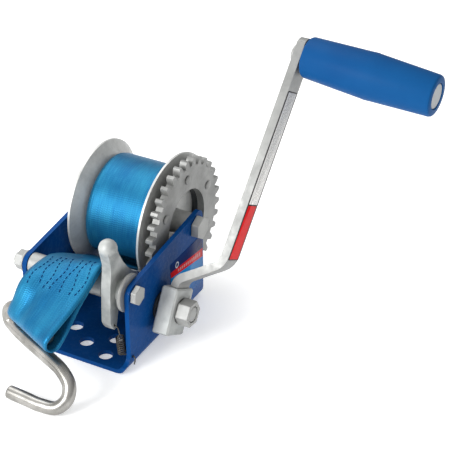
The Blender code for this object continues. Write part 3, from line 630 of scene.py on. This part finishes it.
def fold_points(edge, centre):
    """One edge of the strap's loop: tangent to a circle round the hook, then past it underneath."""
    towards = centre - edge
    towards -= HOOK_AXIS * towards.dot(HOOK_AXIS)
    lean = math.asin(LOOP_RADIUS / towards.length)
    towards.normalize()
    out = towards.cross(HOOK_AXIS)
    up = out * math.cos(lean) - towards * math.sin(lean)
    ahead = towards * math.cos(lean) + out * math.sin(lean)
    points = []
    for i in range(LOOP_POINTS):
        angle = (math.pi + LOOP_CLOSING) * i / (LOOP_POINTS - 1)
        points.append(centre + (up * math.cos(angle) + ahead * math.sin(angle)) * LOOP_RADIUS)
    return points


def eased(share):
    """A share from 0 to 1 that starts and ends gently."""
    return share * share * (3 - 2 * share)


def around_drum(x, radius, angle):
    """A point at a distance from the drum's axis."""
    return Vector((x, DRUM_AXIS.y + radius * math.cos(angle), DRUM_AXIS.z + radius * math.sin(angle)))


def wrap_points(edge):
    """The outermost turn on the roll, from its tucked end round to where the strap leaves."""
    leaving = Vector((0.0, edge[1], edge[2])) - DRUM_AXIS
    start = math.atan2(leaving.z, leaving.y)
    points = []
    for i in range(WRAP_POINTS, 0, -1):
        angle = start + WRAP_STEP * i
        radius = WRAP_RADIUS - WRAP_TUCK * eased(min(1.0, i / 5))
        points.append(around_drum(edge[0], radius, angle))
    return points


def edge_route(side):
    """Guide points for one edge of the strap: on the roll, free, round the hook and back under itself."""
    edges = [Vector(pair[side]) for pair in STRAP_EDGES]
    others = [Vector(pair[1 - side]) for pair in STRAP_EDGES]
    centre = HOOK_PIVOT + HOOK_AXIS * (STRAP_WIDTH / 2 * (1 if side else -1))
    fold = fold_points(edges[-1], centre)
    under = []
    for i, drop in LOOP_RETURN:
        along = edges[i + 1] + others[i + 1] - edges[i - 1] - others[i - 1]
        over = (others[i] - edges[i]) * (-1 if side else 1)
        under.append(edges[i] + over.cross(along).normalized() * drop)
    return wrap_points(edges[0]), edges, fold, under


def strap_rows():
    """Rows of points across the strap, and the length along it at each row."""
    left = edge_route(0)
    right = edge_route(1)
    routes = []
    for wrap, edges, fold, under in (left, right):
        routes.append(smooth_curve([*wrap, *edges, *fold, *under], CURVE_STEPS))
    rows = []
    lengths = []
    total = 0.0
    before = None
    fold_start = CURVE_STEPS * (WRAP_POINTS + len(STRAP_EDGES) - 2)
    fold_end = fold_start + CURVE_STEPS * (LOOP_POINTS + 2)
    for i, (a, b) in enumerate(zip(*routes)):
        middle = (a + b) / 2
        total += (middle - before).length if before else 0.0
        before = middle
        lengths.append(total)
        share = max(0.0, 1 - abs(i - (fold_start + 6)) / PUCKER_REACH) if i < fold_end else None
        rows.append([crumpled(a, b, j / (STRAP_COLUMNS - 1), share, i) for j in range(STRAP_COLUMNS)])
    return rows, lengths


def crumpled(a, b, t, share, row):
    """A point across the strap, with soft lengthwise puckers on the outer layer near the hook."""
    point = a.lerp(b, t)
    if share is None:
        return point
    wave = math.sin(t * 13.0 + 0.8) * 0.55 + math.sin(t * 23.0 + row * 0.05) * 0.35
    edge = math.sin(math.pi * min(1.0, max(0.0, t))) ** 0.5
    out = Vector((0.0, -0.75, 0.66))
    return point + out * (wave * PUCKER_HEIGHT * eased(share) * edge)


def make_strap(cloth, sewing):
    """The strap from the roll to the hook, its stitching, and the turns under it."""
    rows, lengths = strap_rows()
    widths = [STRAP_WIDTH * j / (STRAP_COLUMNS - 1) for j in range(STRAP_COLUMNS)]
    shape = sheet_mesh(rows, STRAP_THICKNESS, widths, lengths)
    new_piece("strap_webbing", shape, cloth, "winch_frame", "strap_tail")
    make_stitches(rows, sewing)
    make_roll(cloth)


def make_stitches(rows, sewing):
    """Rows of stitches lengthwise through both layers, just after the spacer tube."""
    first = CURVE_STEPS * (WRAP_POINTS + 3) - 1
    last = CURVE_STEPS * (WRAP_POINTS + 6) - 1
    whole = bmesh.new()
    for line in range(STITCH_LINES):
        t = 0.13 + 0.76 * line / (STITCH_LINES - 1)
        path = []
        for i in range(first, last + 1):
            drift = 0.028 * math.sin((i - first) / (last - first) * math.pi * 2 + line * 1.7)
            path.append(surface_point(rows, i, t + drift))
        dashes(whole, path)
    new_piece("strap_stitching", whole, sewing, "winch_frame")


def surface_point(rows, i, t):
    """A point just over the strap's outer face, at a row and a share of the width."""
    place = min(max(t, 0.0), 1.0) * (STRAP_COLUMNS - 1)
    j = min(int(place), STRAP_COLUMNS - 2)
    point = rows[i][j].lerp(rows[i][j + 1], place - j)
    along = rows[i + 1][j] - rows[i - 1][j]
    over = rows[i][j + 1] - rows[i][j]
    out = over.cross(along).normalized()
    out = out if out.dot(Vector((0.0, -0.3, 1.0))) > 0 else -out
    return point + out * (STRAP_THICKNESS / 2 + 0.0001)


def dashes(whole, path):
    """Add short thread dashes along a path to a bmesh."""
    spots = resampled(path, STITCH_STEP)
    step = int((STITCH_LENGTH + STITCH_GAP) / STITCH_STEP)
    size = int(STITCH_LENGTH / STITCH_STEP)
    for start in range(0, len(spots) - size, step):
        run = spots[start:start + size + 1:3]
        shares = [k / (len(run) - 1) for k in range(len(run))]
        radii = [STITCH_RADIUS * math.sin(math.pi * (0.15 + 0.7 * share)) for share in shares]
        piece = tube(run, radii, 6)
        mesh = bpy.data.meshes.new("dash")
        piece.to_mesh(mesh)
        whole.from_mesh(mesh)
        piece.free()
        bpy.data.meshes.remove(mesh)


def resampled(path, step):
    """Evenly spaced points along a path."""
    spots = [path[0]]
    left = step
    for a, b in zip(path, path[1:]):
        length = (b - a).length
        done = 0.0
        while length - done >= left:
            done += left
            spots.append(a.lerp(b, done / length))
            left = step
        left -= length - done
    return spots


def roll_profile():
    """The roll's section, each point its X and radius, with a low ridge for each turn's edge."""
    turn = (ROLL_OUTER_RADIUS - ROLL_INNER_RADIUS) / ROLL_TURNS
    left_groove = ROLL_LEFT + 0.0003
    right_groove = ROLL_RIGHT - 0.0003
    profile = [(ROLL_LEFT, ROLL_INNER_RADIUS)]
    for k in range(ROLL_TURNS):
        low = ROLL_INNER_RADIUS + k * turn
        profile += [(left_groove, low + 0.0002), (ROLL_LEFT, low + 0.0011), (left_groove, low + 0.0020)]
    profile += [(ROLL_LEFT, ROLL_OUTER_RADIUS), (ROLL_RIGHT, ROLL_OUTER_RADIUS)]
    for k in reversed(range(ROLL_TURNS)):
        low = ROLL_INNER_RADIUS + k * turn
        profile += [(right_groove, low + 0.0020), (ROLL_RIGHT, low + 0.0011), (right_groove, low + 0.0002)]
    return [*profile, (ROLL_RIGHT, ROLL_INNER_RADIUS)]


def make_roll(cloth):
    """The turns of strap under the outermost one: a drum of webbing with its layers at the edges."""
    shape = bmesh.new()
    layer = shape.loops.layers.uv.new("UVMap")
    profile = roll_profile()
    angles = [2 * math.pi * k / ROLL_SIDES for k in range(ROLL_SIDES)]
    rings = []
    for x, radius in profile:
        rings.append([shape.verts.new(around_drum(x, radius, angle)) for angle in angles])
    for m, (first, second) in enumerate(zip(rings, [*rings[1:], rings[0]])):
        for k in range(ROLL_SIDES):
            j = (k + 1) % ROLL_SIDES
            face = shape.faces.new((first[k], first[j], second[j], second[k]))
            places = ((m, k), (m, k + 1), (m + 1, k + 1), (m + 1, k))
            for loop, (row, turn) in zip(face.loops, places):
                x, radius = profile[row % len(profile)]
                around = turn / ROLL_SIDES * 2 * math.pi * ROLL_OUTER_RADIUS
                loop[layer].uv = (x - ROLL_LEFT + radius - ROLL_INNER_RADIUS, around)
    bmesh.ops.recalc_face_normals(shape, faces=shape.faces[:])
    new_piece("strap_turns", shape, cloth, "drum", "strap_roll")


# ---------------------------------------------------------------- hook and spring

def make_hook(material):
    """The bent rod with softly rounded cut ends."""
    inside = [HOOK_PIVOT + HOOK_AXIS * reach for reach in HOOK_INSIDE]
    path = smooth_curve(inside + [Vector(point) for point in HOOK_ROUTE], 10)
    path, radii = rounded_ends(path, HOOK_ROD_RADIUS, 0.0008)
    new_piece("hook_rod", tube(path, radii, 28), material, "hook", "s_hook")


def make_spring(material):
    """The round-wire tension spring, its top eye placed by the pawl's axis."""
    eye, hole = SPRING_EYE, SPRING_HOLE
    top = Vector((eye.x + 0.0040, eye.y, eye.z - 0.0085))
    bottom = Vector((0.0375, hole.y - 0.0022, hole.z + 0.0025))
    down = (bottom - top).normalized()
    side = down.cross(Vector((1.0, 0.0, 0.0))).normalized()
    out = side.cross(down)
    count = SPRING_SIDES * SPRING_TURNS
    coil = []
    for i in range(count + 1):
        angle = 2 * math.pi * i / SPRING_SIDES
        middle = top.lerp(bottom, i / count)
        coil.append(middle + (side * math.cos(angle) + out * math.sin(angle)) * SPRING_RADIUS)
    above = [eye - Vector((0.0085, 0.0, -0.0004)), eye - Vector((0.004, 0.0, -0.0002)), eye]
    above += [eye + Vector((0.0024, 0.0, -0.0010)), top + Vector((0.0, 0.0, 0.0020))]
    below = [Vector((hole.x - 0.0053, hole.y, hole.z)), hole + Vector((0.0012, 0.0, 0.0))]
    below += [hole + Vector((0.0026, -0.0012, -0.0016)), hole + Vector((0.0026, -0.0026, -0.0046))]
    path = smooth_curve(above, 5) + coil + smooth_curve(below, 5)
    shape = tube(path, [SPRING_WIRE_RADIUS] * len(path), 8)
    piece = new_piece("pawl_return_spring", shape, material, None, "pawl_spring")
    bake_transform(piece)


# ---------------------------------------------------------------- labels


def crank_point(x, radius, side):
    """A point of the crank at rest: X, the distance out from the shaft, and the place across the arm."""
    y = CRANK_AXIS.y + radius * math.sin(CRANK_LEAN) + side * math.cos(CRANK_LEAN)
    z = CRANK_AXIS.z + radius * math.cos(CRANK_LEAN) - side * math.sin(CRANK_LEAN)
    return Vector((x, y, z))


def flat_label(name, corners, material, body):
    """A thin stuck-on panel with rounded corners, its UV running from 0 to 1 both ways."""
    origin, right, top = corners
    across = right - origin
    up = top - origin
    out = across.cross(up).normalized() * LABEL_THICKNESS
    shape = bmesh.new()
    layer = shape.loops.layers.uv.new("UVMap")
    wide = LABEL_ROUNDING / across.length
    high = LABEL_ROUNDING / up.length
    outline = []
    for u, v, first in ((1, 0, 270), (1, 1, 0), (0, 1, 90), (0, 0, 180)):
        for k in range(5):
            angle = math.radians(first + 22.5 * k)
            rounded_u = u + wide * (1 - 2 * u + math.cos(angle))
            rounded_v = v + high * (1 - 2 * v + math.sin(angle))
            outline.append((rounded_u, rounded_v))
    front = [shape.verts.new(origin + across * u + up * v + out) for u, v in outline]
    back = [shape.verts.new(origin + across * u + up * v) for u, v in outline]
    faces = [shape.faces.new(front), shape.faces.new(back[::-1])]
    places = {vert: uv for verts in (front, back) for vert, uv in zip(verts, outline)}
    for k in range(len(outline)):
        j = (k + 1) % len(outline)
        faces.append(shape.faces.new((front[j], front[k], back[k], back[j])))
    for face in faces:
        for loop in face.loops:
            loop[layer].uv = places[loop.vert]
    bmesh.ops.recalc_face_normals(shape, faces=shape.faces[:])
    new_piece(name, shape, material, body)


def make_labels():
    """The label on the arm's outer face and the one on the right side plate."""
    along = (ARM_HIGH - ARM_LOW).normalized()
    face = Vector((along.y, -along.x)) * ARM_FACE
    start = ARM_LOW + along * ARM_LABEL_START + face
    end = ARM_LOW + along * ARM_LABEL_END + face
    places = ((start, -ARM_LABEL_HALF_WIDTH), (start, ARM_LABEL_HALF_WIDTH), (end, -ARM_LABEL_HALF_WIDTH))
    corners = [crank_point(*place, side) for place, side in places]
    flat_label("arm_label", corners, arm_label(), "crank")
    y_low, z_low = PLATE_LABEL_LOW
    y_high, z_high = PLATE_LABEL_HIGH
    places = ((y_low, z_low), (y_high, z_low), (y_low, z_high))
    corners = [Vector((PLATE_LABEL_X, y, z)) for y, z in places]
    flat_label("plate_label", corners, plate_label(), "winch_frame")


# ---------------------------------------------------------------- studio


def make_floor():
    """A pale floor that reaches well past the camera's view."""
    shape = bmesh.new()
    bmesh.ops.create_grid(shape, x_segments=2, y_segments=2, size=4.0)
    mesh = bpy.data.meshes.new("floor")
    shape.to_mesh(mesh)
    shape.free()
    floor = bpy.data.objects.new("floor", mesh)
    floor.location.z = -FLOOR_DROP
    mesh.materials.append(floor_paper())
    bpy.context.scene.collection.objects.link(floor)


def area_light(name, place, size, power):
    """A square soft light aimed at the winch."""
    data = bpy.data.lights.new(name, "AREA")
    data.size = size
    data.energy = power
    light = bpy.data.objects.new(name, data)
    light.location = place
    light.rotation_euler = (Vector(LIT_POINT) - Vector(place)).to_track_quat("-Z", "Y").to_euler()
    bpy.context.scene.collection.objects.link(light)


def make_lights():
    """Surroundings that are brightest above and to the left, and two soft boxes."""
    world = bpy.data.worlds.new("studio")
    world.use_nodes = True
    tree = world.node_tree
    coordinates = tree.nodes.new("ShaderNodeTexCoord")
    aim = tree.nodes.new("ShaderNodeVectorMath")
    aim.operation = "DOT_PRODUCT"
    aim.inputs[1].default_value = BRIGHT_SIDE
    level = tree.nodes.new("ShaderNodeMapRange")
    level.inputs["From Min"].default_value = -0.60
    level.inputs["From Max"].default_value = 0.95
    level.inputs["To Min"].default_value = 0.30
    level.inputs["To Max"].default_value = 1.10
    background = tree.nodes["Background"]
    background.inputs["Color"].default_value = (1.0, 1.0, 1.0, 1.0)
    tree.links.new(coordinates.outputs["Generated"], aim.inputs[0])
    tree.links.new(aim.outputs["Value"], level.inputs["Value"])
    tree.links.new(level.outputs["Result"], background.inputs["Strength"])
    bpy.context.scene.world = world
    area_light("key", KEY_LIGHT, 0.45, 11.0)
    area_light("top", TOP_LIGHT, 0.8, 5.0)


def make_camera():
    """A long lens, looking down from the front right."""
    data = bpy.data.cameras.new("camera")
    data.lens = CAMERA_LENS
    data.sensor_width = CAMERA_SENSOR
    data.shift_x, data.shift_y = CAMERA_SHIFT
    data.clip_end = 20.0
    camera = bpy.data.objects.new("camera", data)
    camera.location = CAMERA_PLACE
    camera.rotation_euler = (CAMERA_TILT, 0.0, CAMERA_TURN)
    bpy.context.scene.collection.objects.link(camera)
    bpy.context.scene.camera = camera


# ---------------------------------------------------------------- finishes of the CAD nodes


def finish_nodes():
    """Materials and rounded edges for the pieces whose shape stays as modelled."""
    sheet = zinc("zinc_sheet", 0.60, 0.42)
    gear = zinc("zinc_gear", 0.27, 0.44, 300.0, 0.00005, 0.12)
    bolt = zinc("zinc_bolt", 0.36, 0.50, 500.0, 0.00002, 0.06)
    bar = zinc("zinc_bar", 0.27, 0.46, 260.0, 0.00005, 0.08)
    cast = cast_zinc()
    dark = plain_metal("dark_steel", (0.07, 0.075, 0.08), 0.38)
    finish_node("frame", blue_paint(), 0.0008, 3)
    for name in ("left_flange", "right_flange", "drum_core", "strap_anchor_pin"):
        finish_node(name, sheet, 0.0005, 2)
    finish_node("ring_gear", gear, 0.0008, 3)
    finish_node("pinion", gear, 0.0005, 2)
    for number in range(1, 7):
        finish_node(f"gear_rivet_{number}", gear, 0.0003, 1)
    for name in ("gear_spacer", "shaft_bush_left", "shaft_bush_right", "shaft_retaining_ring"):
        finish_node(name, dark, 0.0003, 1)
    bright = ["crank_nut", "crank_shaft", "grip_pin", "pawl_spacer_tube"]
    for name in ("drum_bolt", "pawl_bolt"):
        bright += [name, f"{name}_washer", f"{name}_nut"]
    for name in bright:
        finish_node(name, bolt, 0.0005, 2)
    finish_node("crank_hub", cast, 0.0005, 2)
    finish_node("pawl", cast, 0.0007, 2)
    finish_node("crank_arm", bar, 0.0005, 2)
    finish_node("pawl_disc", zinc("turned_disc", 0.28, 0.34, 700.0, 0.00002, 0.04), 0.0003, 2)
    finish_node("grip", grip_plastic(), 0.0006, 2, 40)
    finish_node("grip_cap", grey_plastic(), 0.0003, 1)


def main():
    """Build everything round the loaded CAD."""
    make_camera()
    finish_nodes()
    make_strap(webbing(), thread())
    make_hook(bright_rod())
    make_spring(plain_metal("spring_wire", (0.10, 0.095, 0.085), 0.35))
    make_labels()
    make_floor()
    make_lights()
    bpy.context.scene.view_settings.view_transform = "Standard"


main()
